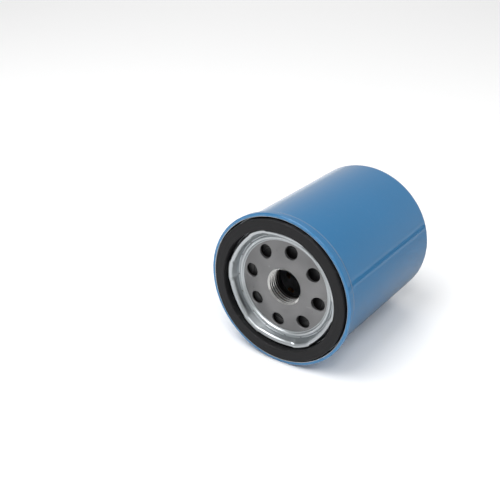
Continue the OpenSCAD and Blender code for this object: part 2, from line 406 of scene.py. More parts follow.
class Effects:
    """Shader node groups that several finishes share. Each is built once."""

    def __init__(self) -> None:
        """Draws every group."""
        self.uneven_tone = self._uneven_tone()
        self.grain = self._grain()
        self.turning_marks = self._turning_marks()
        self.edge_rub = self._edge_rub()
        self.dust = self._dust()
        self.painted_depth_shade = self._painted_depth_shade()

    @staticmethod
    def _open(name: str, inputs: dict, outputs: dict) -> tuple[Sheet, object, object]:
        """Makes an empty group.

        Args:
            name: the group's name.
            inputs: socket type and default value of each input, by name.
            outputs: socket type of each output, by name.

        Returns:
            The sheet to draw on, the group's input sockets and its output sockets.
        """
        tree = bpy.data.node_groups.new(name, "ShaderNodeTree")
        for key, (kind, value) in inputs.items():
            socket = tree.interface.new_socket(key, in_out="INPUT", socket_type="NodeSocket" + kind)
            if value is not None:
                socket.default_value = value
        for key, kind in outputs.items():
            tree.interface.new_socket(key, in_out="OUTPUT", socket_type="NodeSocket" + kind)
        given = tree.nodes.new("NodeGroupInput")
        result = tree.nodes.new("NodeGroupOutput")
        return Sheet(tree), given.outputs, result.inputs

    def _uneven_tone(self) -> bpy.types.NodeTree:
        """Slow drift of a colour's brightness over the surface.

        Returns:
            The group.
        """
        sheet, given, result = self._open(
            "uneven_tone",
            {"Vector": ("Vector", None), "Color": ("Color", (0.5, 0.5, 0.5, 1)),
             "Scale": ("Float", 60.0), "Amount": ("Float", 0.1)},
            {"Color": "Color", "Mask": "Float"},
        )
        mask = sheet.noise(given["Vector"], given["Scale"], 1.0)
        swing = sheet.math("MULTIPLY", sheet.math("SUBTRACT", mask, 0.5), given["Amount"])
        gain = sheet.math("ADD", sheet.math("MULTIPLY", swing, 2.0), 1.0)
        scaled = sheet.node("VectorMath", {0: given["Color"]}, operation="SCALE")
        sheet.feed(scaled.inputs["Scale"], gain)
        sheet.feed(result["Color"], scaled.outputs[0])
        sheet.feed(result["Mask"], mask)
        return sheet.tree

    def _grain(self) -> bpy.types.NodeTree:
        """Fine surface roughness as a normal.

        Returns:
            The group.
        """
        sheet, given, result = self._open(
            "surface_grain",
            {"Vector": ("Vector", None), "Scale": ("Float", 900.0),
             "Depth": ("Float", 0.00005), "Strength": ("Float", 0.2)},
            {"Normal": "Vector"},
        )
        height = sheet.noise(given["Vector"], given["Scale"], 2.0)
        bump = sheet.node(
            "Bump", {"Strength": given["Strength"], "Distance": given["Depth"], "Height": height}
        )
        sheet.feed(result["Normal"], bump.outputs[0])
        return sheet.tree

    def _turning_marks(self) -> bpy.types.NodeTree:
        """Fine rings round the filter's axis, as pressing and spinning leave them.

        Returns:
            The group.
        """
        sheet, given, result = self._open(
            "turning_marks",
            {"Vector": ("Vector", None), "Rings": ("Float", 4000.0)},
            {"Mask": "Float"},
        )
        y = sheet.coordinate(given["Vector"], 1)
        along = sheet.math("ADD", sheet.radius(given["Vector"]), sheet.math("MULTIPLY", y, 0.7))
        drift = sheet.math("MULTIPLY", sheet.noise(given["Vector"], 70.0, 1.0), 0.0006)
        place = sheet.math("MULTIPLY", sheet.math("ADD", along, drift), given["Rings"])
        rings = sheet.node("TexNoise", {"W": place, "Scale": 1.0, "Detail": 2.0}, noise_dimensions="1D")
        sheet.feed(result["Mask"], rings.outputs["Fac"])
        return sheet.tree

    def _edge_rub(self) -> bpy.types.NodeTree:
        """Worn crests: where the surface turns outwards sharply, broken up by noise.

        Returns:
            The group.
        """
        sheet, given, result = self._open(
            "edge_rub",
            {"Vector": ("Vector", None), "Low": ("Float", 0.52), "High": ("Float", 0.6),
             "Amount": ("Float", 1.0)},
            {"Mask": "Float"},
        )
        crest = sheet.node("NewGeometry").outputs["Pointiness"]
        ridge = sheet.span(crest, given["Low"], given["High"])
        patches = sheet.span(sheet.noise(given["Vector"], 260.0, 4.0), 0.38, 0.62)
        worn = sheet.math("MULTIPLY", ridge, patches)
        sheet.feed(result["Mask"], sheet.math("MULTIPLY", worn, given["Amount"], clamp=True))
        return sheet.tree

    def _painted_depth_shade(self) -> bpy.types.NodeTree:
        """Painted shade: darkens a bore with its depth along the filter's axis, where shade falls deep
        inside it.

        Returns:
            The group.
        """
        sheet, given, result = self._open(
            "painted_depth_shade",
            {"Vector": ("Vector", None), "Start": ("Float", 0.0), "End": ("Float", 0.01)},
            {"Mask": "Float"},
        )
        depth = sheet.coordinate(given["Vector"], 1)
        sheet.feed(result["Mask"], sheet.span(depth, given["Start"], given["End"]))
        return sheet.tree

    def _dust(self) -> bpy.types.NodeTree:
        """Light dust on what faces up.

        Returns:
            The group.
        """
        sheet, given, result = self._open(
            "settled_dust",
            {"Vector": ("Vector", None), "Amount": ("Float", 0.1)},
            {"Mask": "Float"},
        )
        normal = sheet.node("NewGeometry").outputs["Normal"]
        up = sheet.span(sheet.coordinate(normal, 2), 0.1, 1.0)
        specks = sheet.span(sheet.noise(given["Vector"], 500.0, 3.0), 0.5, 0.75)
        thin = sheet.math("MULTIPLY", sheet.math("ADD", specks, 0.15), up)
        sheet.feed(result["Mask"], sheet.math("MULTIPLY", thin, given["Amount"], clamp=True))
        return sheet.tree


class Dress:
    """One material that is being put together round a Principled shader."""

    def __init__(self, name: str, effects: Effects) -> None:
        """Makes the material with Object coordinates ready to use.

        Args:
            name: the material's name.
            effects: the shared node groups.
        """
        self.material = bpy.data.materials.new(name)
        self.material.use_nodes = True
        tree = self.material.node_tree
        tree.nodes.clear()
        self.sheet = Sheet(tree)
        self.effects = effects
        self.place = self.sheet.node("TexCoord").outputs["Object"]
        self.shader = self.sheet.node("BsdfPrincipled")
        output = self.sheet.node("OutputMaterial")
        tree.links.new(self.shader.outputs[0], output.inputs["Surface"])

    def group(self, tree: bpy.types.NodeTree, **inputs: object) -> bpy.types.bpy_prop_collection:
        """Places a shared group, fed with the surface's place.

        Args:
            tree: the group.
            inputs: values or sockets for its inputs, by name.

        Returns:
            Its outputs.
        """
        made = self.sheet.node("Group", node_tree=tree)
        self.sheet.feed(made.inputs["Vector"], self.place)
        for key, value in inputs.items():
            self.sheet.feed(made.inputs[key], value)
        return made.outputs

    def set(self, **values: object) -> None:
        """Feeds the shader's sockets, whose names are given with underscores for spaces."""
        for key, value in values.items():
            self.sheet.feed(self.shader.inputs[key.replace("_", " ")], value)


# ---------- finishes

@dataclass(frozen=True)
class Paint:
    """Gloss paint sprayed over drawn steel sheet."""

    name: str = "gloss_blue_paint"
    deep: Color = (0.0075, 0.146, 0.334, 1)
    dusty: Color = (0.30, 0.36, 0.42, 1)
    rubbed: Color = (0.12, 0.30, 0.52, 1)
    bare: Color = (0.36, 0.38, 0.39, 1)
    roughness: float = 0.33
    peel_scale: float = 230.0
    metallic: float = 0.2
    rub: float = 0.0
    coat: float = 0.8
    bare_inside_r: float | None = None

    def make(self, effects: Effects) -> bpy.types.Material:
        """Builds the paint.

        Args:
            effects: the shared node groups.

        Returns:
            The material. With bare_inside_r, sheet nearer the axis than that radius, in
            millimetres, is left bare, with a ragged spray edge.
        """
        dress = Dress(self.name, effects)
        sheet = dress.sheet
        tone = dress.group(effects.uneven_tone, Color=self.deep, Scale=30.0, Amount=0.04)
        dust = dress.group(effects.dust, Amount=0.02)["Mask"]
        rub = dress.group(effects.edge_rub, Low=0.56, High=0.64, Amount=self.rub)["Mask"]
        grain = dress.group(
            effects.grain, Scale=self.peel_scale, Depth=0.00006, Strength=0.16
        )
        color = sheet.mix(dust, tone["Color"], self.dusty)
        color = sheet.mix(rub, color, self.rubbed)
        rough = sheet.span(tone["Mask"], 0.1, 0.9, (self.roughness - 0.04, self.roughness + 0.06))
        rough = sheet.math("ADD", rough, sheet.math("MULTIPLY", dust, 0.5))
        metal: object = self.metallic
        if self.bare_inside_r is not None:
            ragged = sheet.math("MULTIPLY", sheet.noise(dress.place, 900.0, 3.0), 0.35 * MM)
            edge = sheet.math("ADD", sheet.radius(dress.place), ragged)
            bare = sheet.span(
                edge, (self.bare_inside_r + 0.1) * MM, (self.bare_inside_r + 0.35) * MM, (1.0, 0.0)
            )
            color = sheet.mix(bare, color, self.bare)
            metal = sheet.span(bare, 0.0, 1.0, (self.metallic, 1.0))
        dress.set(
            Base_Color=color, Roughness=rough, Metallic=metal, Coat_Weight=self.coat,
            Coat_Roughness=0.06, Specular_IOR_Level=0.4, Normal=grain["Normal"],
        )
        return dress.material


@dataclass(frozen=True)
class Metal:
    """Bare or plated steel."""

    name: str
    color: Color
    dull: Color
    roughness: float
    spread: float = 0.08
    grain_scale: float = 900.0
    grain_strength: float = 0.15
    rings: float = 3000.0
    ring_share: float = 0.15
    rub: float = 0.5
    stain: float = 0.0
    metallic: float = 1.0
    # Painted shade: between these two depths along the axis, in millimetres, the colour darkens to the
    # dark colour below, for the shade deep in bores and holes.
    shade_depths: tuple[float, float] | None = None
    oil: Color = (0.012, 0.011, 0.010, 1)

    def make(self, effects: Effects) -> bpy.types.Material:
        """Builds the metal.

        Args:
            effects: the shared node groups.

        Returns:
            The material: uneven tone, ring marks, brighter crests and faint stains. With its two depths
                set, painted shade darkens it between them, in millimetres, where bores and holes lie in
                shade.
        """
        dress = Dress(self.name, effects)
        sheet = dress.sheet
        tone = dress.group(effects.uneven_tone, Color=self.color, Scale=95.0, Amount=0.10)
        marks = dress.group(effects.turning_marks, Rings=self.rings)["Mask"]
        rub = dress.group(effects.edge_rub, Low=0.53, High=0.58, Amount=self.rub)["Mask"]
        grain = dress.group(
            effects.grain, Scale=self.grain_scale, Depth=0.00004, Strength=self.grain_strength
        )
        dulled = sheet.math("MULTIPLY", sheet.span(marks, 0.35, 0.7), self.ring_share)
        color = sheet.mix(dulled, tone["Color"], self.dull)
        if self.stain:
            pits = sheet.span(sheet.noise(dress.place, 520.0, 1.0), 0.735, 0.79)
            patch = sheet.span(sheet.noise(dress.place, 150.0, 5.0), 0.55, 0.8)
            spots = sheet.math("ADD", pits, sheet.math("MULTIPLY", patch, 0.35), clamp=True)
            color = sheet.mix(sheet.math("MULTIPLY", spots, self.stain), color, self.dull)
        bright = tuple(min(1.0, c * 1.35) for c in self.color[:3]) + (1,)
        color = sheet.mix(rub, color, bright)
        rough = sheet.span(
            tone["Mask"], 0.3, 0.7, (self.roughness + self.spread, self.roughness - self.spread)
        )
        rough = sheet.math("SUBTRACT", rough, sheet.math("MULTIPLY", rub, 0.08), clamp=True)
        # Painted shade: darker with depth in bores and holes.
        if self.shade_depths:
            start, end = self.shade_depths
            deep = dress.group(effects.painted_depth_shade, Start=start * MM, End=end * MM)["Mask"]
            color = sheet.mix(deep, color, self.oil)
        dress.set(
            Base_Color=color, Roughness=rough, Metallic=self.metallic, Normal=grain["Normal"]
        )
        return dress.material


@dataclass(frozen=True)
class Soft:
    """Rubber, paper or cured compound: a dull, non-metallic surface with its own texture."""

    name: str
    color: Color
    bloom: Color
    roughness: float
    grain_scale: float
    grain_strength: float
    rings: float = 2200.0
    dust: float = 0.05
    specular: float = 0.3
    settled: Color = (0.45, 0.45, 0.44, 1)

    def make(self, effects: Effects) -> bpy.types.Material:
        """Builds the surface.

        Args:
            effects: the shared node groups.

        Returns:
            The material: mottled colour, faint moulding rings, fine grain and dust.
        """
        dress = Dress(self.name, effects)
        sheet = dress.sheet
        tone = dress.group(effects.uneven_tone, Color=self.color, Scale=180.0, Amount=0.25)
        marks = dress.group(effects.turning_marks, Rings=self.rings)["Mask"]
        dust = dress.group(effects.dust, Amount=self.dust)["Mask"]
        grain = dress.group(
            effects.grain, Scale=self.grain_scale, Depth=0.0001, Strength=self.grain_strength
        )
        pale = sheet.math("MULTIPLY", sheet.span(marks, 0.45, 0.75), 0.35)
        color = sheet.mix(pale, tone["Color"], self.bloom)
        color = sheet.mix(dust, color, self.settled)
        rough = sheet.span(marks, 0.3, 0.7, (self.roughness - 0.05, self.roughness + 0.06))
        dress.set(
            Base_Color=color, Roughness=rough, Normal=grain["Normal"],
            Specular_IOR_Level=self.specular,
        )
        return dress.material


class Finish(Enum):
    """The finishes that the filter's pieces have."""

    CAN = Paint()
    SEAM = Paint(name="gloss_blue_paint_on_seam", rub=0.4, coat=1.0, bare_inside_r=38.35)
    ZINC = Metal(
        "zinc_plate", (0.43, 0.455, 0.47, 1), (0.27, 0.29, 0.30, 1), 0.33, spread=0.045,
        grain_scale=700.0, grain_strength=0.22, rings=2600.0, ring_share=0.3, stain=0.15,
    )
    # Painted shade darkens the plate's inlet holes and collar deeper than 1.5 mm.
    PLATE = Metal(
        "grey_plate_steel", (0.20, 0.20, 0.203, 1), (0.13, 0.132, 0.135, 1), 0.5, spread=0.05,
        grain_scale=1500.0, grain_strength=0.25, rings=5000.0, ring_share=0.2, rub=0.6,
        stain=0.5, metallic=0.85, shade_depths=(1.5, 2.2),
    )
    # Painted shade darkens the thread deeper into the bore.
    MACHINED = Metal(
        "cut_thread_steel", (0.50, 0.50, 0.49, 1), (0.20, 0.20, 0.20, 1), 0.2, spread=0.05,
        grain_scale=2500.0, grain_strength=0.1, rings=9000.0, ring_share=0.5, rub=0.7,
        shade_depths=(4.4, 7.6),
    )
    TINNED = Metal("tinned_sheet", (0.62, 0.63, 0.62, 1), (0.42, 0.43, 0.42, 1), 0.37)
    TUBE = Metal("tube_sheet", (0.40, 0.41, 0.42, 1), (0.28, 0.29, 0.30, 1), 0.38)
    VALVE = Metal(
        "turned_valve_steel", (0.62, 0.63, 0.64, 1), (0.4, 0.4, 0.41, 1), 0.34, spread=0.05,
        grain_scale=1200.0, grain_strength=0.1, rings=7000.0, ring_share=0.4,
    )
    WIRE = Metal("drawn_spring_wire", (0.5, 0.51, 0.53, 1), (0.3, 0.31, 0.32, 1), 0.37)
    WELD = Metal("weld_steel", (0.22, 0.22, 0.23, 1), (0.1, 0.1, 0.1, 1), 0.6)
    GASKET = Soft(
        "gasket_rubber", (0.003, 0.003, 0.004, 1), (0.008, 0.008, 0.010, 1), 0.58,
        grain_scale=1600.0, grain_strength=0.35, rings=1800.0, dust=0.06,
    )
    VALVE_RUBBER = Soft(
        "valve_rubber", (0.012, 0.012, 0.013, 1), (0.03, 0.03, 0.03, 1), 0.38,
        grain_scale=1300.0, grain_strength=0.3, rings=2600.0, dust=0.0, specular=0.5,
    )
    COMPOUND = Soft("seam_compound", (0.62, 0.50, 0.24, 1), (0.7, 0.6, 0.36, 1), 0.5, 900.0, 0.3)
    PAPER = Soft("filter_paper", (0.34, 0.20, 0.08, 1), (0.44, 0.28, 0.13, 1), 0.85, 1900.0, 0.7)
    ADHESIVE = Soft("end_cap_adhesive", (0.60, 0.53, 0.36, 1), (0.68, 0.62, 0.46, 1), 0.4, 500.0, 0.3)


class Wardrobe:
    """Makes each finish once, when a piece first asks for it."""

    def __init__(self) -> None:
        """Draws the shared effects."""
        self.effects = Effects()
        self.made: dict[Finish, bpy.types.Material] = {}

    def get(self, finish: Finish) -> bpy.types.Material:
        """Makes a finish's material when it is first asked for.

        Args:
            finish: the finish wanted.

        Returns:
            Its material.
        """
        if finish not in self.made:
            self.made[finish] = finish.value.make(self.effects)
        return self.made[finish]

    def dress(self, obj: bpy.types.Object, *finishes: Finish) -> None:
        """Gives an object its finishes, one material slot each.

        Args:
            obj: the object to dress.
            finishes: its finishes, in the order of its slots.
        """
        obj.data.materials.clear()
        for finish in finishes:
            obj.data.materials.append(self.get(finish))


# ---------- pieces

class Piece:
    """A visual piece that stands for one CAD node."""

    node: ClassVar[str]
    slot: ClassVar[str]
    finishes: ClassVar[tuple[Finish, ...]]
    body: ClassVar[str] = "filter"

    def shape(self) -> bpy.types.Object:
        """Makes the piece's mesh."""
        raise NotImplementedError

    def takes_second(self, centre: Vector) -> bool:
        """Has the face with this centre the second finish?"""
        return False

    def build(self, wardrobe: Wardrobe) -> bpy.types.Object:
        """Makes the piece, finishes it and puts it in place of its CAD node.

        Args:
            wardrobe: makes and keeps the finishes.

        Returns:
            The finished piece, which moves with its body.
        """
        obj = self.shape()
        smooth(obj)
        wardrobe.dress(obj, *self.finishes)
        for face in obj.data.polygons:
            face.material_index = int(self.takes_second(face.center))
        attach(obj, self.body)
        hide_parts(self.node)
        LOG.info("%s: %d faces, stands for %s, rides on %s", obj.name, len(obj.data.polygons),
                 self.node, self.body)
        return obj


@dataclass
class Can(Piece):
    """Deep-drawn can: crowned dome, long wall, and the flare that runs into the seam."""

    node, slot, finishes = "can_shell", "blue_paint", (Finish.CAN,)
    wall_r: float = 38.0
    sheet: float = 0.35
    dome_y: float = 86.0
    crown: float = 1.5
    corner: float = 3.5
    flare_r: float = 38.75
    wall_rings: int = 24

    def crown_line(self, drop: float, rim_r: float) -> list[Corner]:
        """Draws the crown from the axis outwards, for one skin of the sheet.

        Args:
            drop: how far below the outside the skin lies.
            rim_r: where the line ends.

        Returns:
            The points.
        """
        flat_r = self.wall_r - self.corner
        return [
            Corner(r, self.dome_y - drop - self.crown * (r / flat_r) ** 2)
            for r in (rim_r * i / 10 for i in range(11))
        ]

    def outline(self) -> Outline:
        """The can's section, from the dome's outside round the hook to the dome's inside.

        Returns:
            The points (r, y) in millimetres.
        """
        edge_y = self.dome_y - self.crown * (self.wall_r / (self.wall_r - self.corner)) ** 2
        wall = [
            Corner(self.wall_r, 80.0 - 76.0 * i / self.wall_rings)
            for i in range(self.wall_rings + 1)
        ]
        outer = self.crown_line(0.0, 33.0) + [Corner(self.wall_r, edge_y, self.corner - 0.3)] + wall
        hook = [
            Corner(self.wall_r, 1.9, 1.4), Corner(self.flare_r, 0.1, 0.5),
            Corner(self.flare_r, -4.25), Corner(39.15, -4.25), Corner(39.15, -2.9),
            Corner(39.5, -2.9), Corner(39.5, -4.6), Corner(38.4, -4.6),
            Corner(self.flare_r - self.sheet, 0.1, 0.5), Corner(self.wall_r - self.sheet, 1.9, 1.0),
        ]
        inner = [Corner(self.wall_r - self.sheet, edge_y - self.sheet, self.corner - 0.6)]
        inner += reversed(self.crown_line(self.sheet, 33.0))
        return filleted(outer + hook + inner, 11.0)

    def shape(self) -> bpy.types.Object:
        """Turns the can and gives it the faint unevenness of drawn sheet.

        Returns:
            The can.
        """
        can = turned("painted_can", self.outline(), closed=False, steps=224)
        ripple = bpy.data.textures.new("drawn_sheet", "CLOUDS")
        ripple.noise_scale = 0.026
        apply_modifier(can, "DISPLACE", texture=ripple, strength=0.00004, mid_level=0.5)
        return can


class Fade(Enum):
    """How a pull on the lip fades out round it."""

    EVEN = "SMOOTH"
    SHARP_START = "INVERSE_SQUARE"


@dataclass
class Lid(Piece):
    """Zinc-plated seaming lid, with its flange, lip, gasket channel and the rolled seam."""

    node, slot, finishes = "seaming_lid", "zinc_lid", (Finish.ZINC, Finish.SEAM)
    seam_r: float = 39.9
    seam_front: float = -5.0
    seam_back: float = -2.0
    lip_y: float = -3.9
    lip_r: float = 31.0
    crimps: int = 6
    crimp_phase_deg: float = -3.5
    crimp_half_deg: float = 9.0
    crimp_out: float = 0.45
    crimp_reach: float = 1.2
    flat_half_deg: float = 1.5
    flat_in: float = 0.7
    flat_reach: float = 10.6
    lip_zone: tuple[float, float] = (28.0, 31.3)
    lip_root_y: float = -1.2
    wavy_zone: tuple[float, float] = (27.5, 31.6)
    paint_from_r: float = 38.3
    paint_ahead_of_y: float = -1.9

    def outline(self) -> Outline:
        """The lid's section, from the flange's edge outwards and back along its inside.

        Returns:
            The points (r, y) in millimetres.
        """
        front, back = self.seam_front, self.seam_back
        corners = [
            Corner(24.5, 1.1), Corner(24.3, 1.08, 0.0), Corner(24.3, 0.7, 0.14),
            Corner(24.7, 0.66, 0.25), Corner(25.2, -0.15, 0.6), Corner(26.4, -0.15, 0.7),
            Corner(26.8, 0.6, 0.4), Corner(27.4, 0.6, 0.5), Corner(28.8, self.lip_y, 1.8),
            Corner(self.lip_r, self.lip_y, 0.9), Corner(self.lip_r, -0.4, 0.3),
            Corner(38.0, -0.4, 0.5), Corner(38.0, front, 0.35), Corner(self.seam_r, front, 0.6),
            Corner(self.seam_r, back, 0.5), Corner(38.77, back, 0.15), Corner(38.77, -4.18),
            Corner(39.13, -4.18), Corner(39.13, -2.4), Corner(39.52, -2.4), Corner(39.52, -4.58),
            Corner(38.38, -4.58), Corner(38.38, 0.0, 0.2), Corner(30.6, 0.0, 0.2),
            Corner(30.6, -3.4, 0.3), Corner(29.4, -3.4, 0.5), Corner(27.7, 1.1, 0.4),
        ]
        return filleted(corners + [Corner(24.5, 1.1)])[:-1]

    def stake(self, lid: bpy.types.Object) -> None:
        """Shapes the lip: pressed outwards at each crimp, drawn straight between the crimps.

        Args:
            lid: the turned lid.
        """
        bpy.ops.object.mode_set(mode="EDIT")
        pick(lid, self.on_lip)
        bpy.ops.mesh.hide(unselected=True)
        for i in range(self.crimps):
            angle = math.radians(self.crimp_phase_deg + 360.0 * (i + 0.5) / self.crimps)
            self.push_lip(
                lid, angle, self.flat_half_deg, -self.flat_in, self.flat_reach, Fade.SHARP_START
            )
        for i in range(self.crimps):
            angle = math.radians(self.crimp_phase_deg + 360.0 * i / self.crimps)
            self.push_lip(
                lid, angle, self.crimp_half_deg, self.crimp_out, self.crimp_reach, Fade.EVEN
            )
        bpy.ops.mesh.reveal(select=False)
        bpy.ops.object.mode_set(mode="OBJECT")

    def on_lip(self, p: Vector) -> bool:
        """Is this place on the lip, ahead of its root?"""
        near, far = self.lip_zone
        return near * MM < math.hypot(p.x, p.z) < far * MM and p.y < self.lip_root_y * MM

    def push_lip(
        self, lid: bpy.types.Object, angle: float, half_deg: float, step: float, reach: float,
        fade: Fade,
    ) -> None:
        """Moves the visible points near one direction straight outwards.

        Args:
            lid: the lid, in edit mode, with only its lip visible.
            angle: direction seen from the mounting end, in radians.
            half_deg: half the angle that moves by the full step.
            step: how far to move, in millimetres.
            reach: how far the movement fades out, in millimetres.
            fade: how the movement fades out.
        """
        out = Vector((math.cos(angle), 0, math.sin(angle)))
        limit = math.cos(math.radians(half_deg))

        pick(lid, lambda p: self.on_lip(p) and p.dot(out) / math.hypot(p.x, p.z) > limit)
        bpy.ops.transform.translate(
            value=out * step * MM, use_proportional_edit=True,
            proportional_edit_falloff=fade.value, proportional_size=reach * MM,
        )

    def takes_second(self, centre: Vector) -> bool:
        """Is this face on the seam, where the paint is?"""
        r, y = math.hypot(centre.x, centre.z) / MM, centre.y / MM
        return r > self.paint_from_r and y < self.paint_ahead_of_y

    def shape(self) -> bpy.types.Object:
        """Turns the lid, stakes its lip and makes the sheet there slightly wavy.

        Returns:
            The lid.
        """
        lid = turned("seaming_lid_pressing", self.outline(), steps=288)
        self.stake(lid)
        group = lid.vertex_groups.new(name="lip")
        near, far = self.wavy_zone
        lip = [v.index for v in lid.data.vertices if near < math.hypot(v.co.x, v.co.z) / MM < far]
        group.add(lip, 1.0, "REPLACE")
        ripple = bpy.data.textures.new("pressed_lip", "CLOUDS")
        ripple.noise_scale = 0.007
        apply_modifier(
            lid, "DISPLACE", texture=ripple, strength=0.00012, mid_level=0.5, vertex_group="lip"
        )
        return lid


@dataclass
class Gasket(Piece):
    """Square-cut rubber sealing ring in the lid's channel."""

    node, slot, finishes = "base_gasket", "gasket_rubber", (Finish.GASKET,)
    inner_r: float = 31.6
    outer_r: float = 37.26
    back_y: float = -0.45
    face_y: float = -6.4

    def shape(self) -> bpy.types.Object:
        """Turns the ring, with rounded edges and a fine moulding line on its outer wall.

        Returns:
            The ring.
        """
        line_y = (self.back_y + self.face_y) / 2 - 1.3
        corners = [
            Corner(33.0, self.back_y), Corner(self.inner_r, self.back_y, 0.4),
            Corner(self.inner_r, self.face_y, 0.55), Corner(self.outer_r, self.face_y, 0.65),
            Corner(self.outer_r, line_y - 0.12), Corner(self.outer_r + 0.04, line_y),
            Corner(self.outer_r, line_y + 0.12), Corner(self.outer_r, self.back_y, 0.5),
        ]
        return turned("sealing_ring", filleted(corners), steps=224)


@dataclass
class TappingPlate(Piece):
    """Thick plate with rounded inlet holes and a drawn collar that carries the thread."""

    node, slot, finishes = "tapping_plate", "plate_steel", (Finish.PLATE, Finish.MACHINED)
    plate_r: float = 35.5
    thick: float = 3.0
    inlets: int = 8
    inlet_r: float = 3.5
    inlet_pcd: float = 39.2
    inlet_phase_deg: float = -10.0
    mouth_r: float = 9.8
    mouth_depth: float = 0.7
    crest_r: float = 8.75
    root_r: float = 9.525
    pitch: float = 25.4 / 16
    collar_r: float = 12.4
    collar_l: float = 10.0
    dish_from: float = 14.5
    dish_to: float = 25.0
    dish_end: float = 28.4
    dish_depth: float = 1.1
    face_depth: float = 1.6

    def rings(self) -> list[tuple[Outline, tuple[float, float], int]]:
        """Lists the hoops that make the plate's edge, collar and holes.

        Returns:
            Each hoop's outline, the place of its own axis, and its facets.
        """
        back = self.thick
        edge = [
            Corner(self.plate_r - 1, 0), Corner(self.plate_r, 0, 0.4),
            Corner(self.plate_r, back, 0.4), Corner(self.plate_r - 1, back),
        ]
        collar = [
            Corner(self.mouth_r + 3.2, 0), Corner(self.mouth_r + 2.2, 0, 2.5),
            Corner(self.mouth_r + 0.2, 0.28, 0.6),
            Corner(self.crest_r, self.mouth_depth + 0.35, 0.1), Corner(self.crest_r, 9.5, 0.1),
            Corner(self.crest_r + 0.5, self.collar_l, 0.1), Corner(self.collar_r, self.collar_l, 0.5),
            Corner(self.collar_r, back, 0.6), Corner(self.collar_r + 1.2, back),
        ]
        hole = [
            Corner(self.inlet_r + 0.8, 0), Corner(self.inlet_r, 0, 0.45),
            Corner(self.inlet_r, back, 0.25), Corner(self.inlet_r + 0.6, back),
        ]
        made = [(filleted(edge), (0.0, 0.0), 192), (filleted(collar), (0.0, 0.0), 144)]
        for i in range(self.inlets):
            angle = math.radians(self.inlet_phase_deg) + math.tau * i / self.inlets
            centre = (self.inlet_pcd / 2 * math.cos(angle), self.inlet_pcd / 2 * math.sin(angle))
            made.append((filleted(hole), centre, 56))
        return made

    def blank(self) -> bpy.types.Object:
        """Makes the plate with its holes and a plain bore.

        Returns:
            The plate, flat and without thread.
        """
        clear_selection()
        bpy.ops.mesh.primitive_circle_add(vertices=3, radius=MM)
        plate = bpy.context.object
        plate.name = plate.data.name = "threaded_plate"
        bpy.ops.object.mode_set(mode="EDIT")
        bpy.ops.mesh.delete(type="VERT")
        for line, centre, facets in self.rings():
            add_ring(plate, line, centre, facets)
        for y in (0.0, self.thick * MM):
            bpy.ops.mesh.select_all(action="DESELECT")
            bpy.ops.mesh.select_non_manifold(extend=False, use_wire=False, use_verts=False)
            open_edges = {tuple(round(c, 7) for c in v.co)
                          for v in bmesh.from_edit_mesh(plate.data).verts if v.select}
            pick(plate, lambda p: abs(p.y - y) < 1e-6 and tuple(round(c, 7) for c in p) in open_edges)
            bpy.ops.mesh.fill(use_beauty=True)
            bpy.ops.mesh.subdivide(number_cuts=3)
        tidy_mesh(plate)
        return plate

    def dish(self, plate: bpy.types.Object) -> None:
        """Presses the front face back towards the lid's flange.

        Args:
            plate: the threaded plate.
        """
        group = plate.vertex_groups.new(name="dish")
        for vert in plate.data.vertices:
            r = math.hypot(vert.co.x, vert.co.z) / MM
            share = min(1.0, max(0.0, (r - self.dish_from) / (self.dish_to - self.dish_from)))
            if 0 < share and r < self.dish_end and vert.co.y < self.face_depth * MM:
                group.add([vert.index], share * share * (3 - 2 * share), "REPLACE")
        apply_modifier(
            plate, "DISPLACE", direction="Y", strength=self.dish_depth * MM, mid_level=0.0,
            vertex_group="dish",
        )

    def tap(self) -> bpy.types.Object:
        """Makes the cutter of the thread: a rod with one full turn of thread for each pitch.

        Returns:
            The cutter.
        """
        flank = (self.root_r - self.crest_r) * math.tan(math.radians(30))
        crest_flat = self.pitch / 4
        core = self.crest_r - 0.1
        low = -2 * self.pitch
        line = [
            (core, low), (core, low + crest_flat), (self.root_r, low + crest_flat + flank),
            (self.root_r, low + self.pitch - flank), (core, low + self.pitch),
        ]
        tap = start_from_point("tap", *line[0])
        draw_outline(tap, line, closed=False)
        bpy.ops.object.mode_set(mode="OBJECT")
        apply_modifier(
            tap, "SCREW", axis="Y", angle=math.tau, steps=96, render_steps=96, iterations=10,
            screw_offset=self.pitch * MM, use_merge_vertices=True, merge_threshold=1e-6,
        )
        bpy.ops.object.mode_set(mode="EDIT")
        for y, outer in ((-1.0, False), (self.collar_l + 1.0, True)):
            bpy.ops.mesh.select_all(action="SELECT")
            bpy.ops.mesh.bisect(
                plane_co=(0, y * MM, 0), plane_no=(0, 1, 0), use_fill=True,
                clear_inner=not outer, clear_outer=outer,
            )
        tidy_mesh(tap)
        return tap

    def takes_second(self, centre: Vector) -> bool:
        """Is this face in the cut thread?"""
        return math.hypot(centre.x, centre.z) < (self.root_r + 0.01) * MM

    def shape(self) -> bpy.types.Object:
        """Makes the plate, cuts its thread and dishes it.

        Returns:
            The plate.
        """
        plate, tap = self.blank(), self.tap()
        apply_modifier(plate, "BOOLEAN", object=tap, operation="DIFFERENCE", solver="EXACT")
        bpy.data.objects.remove(tap)
        self.dish(plate)
        return plate


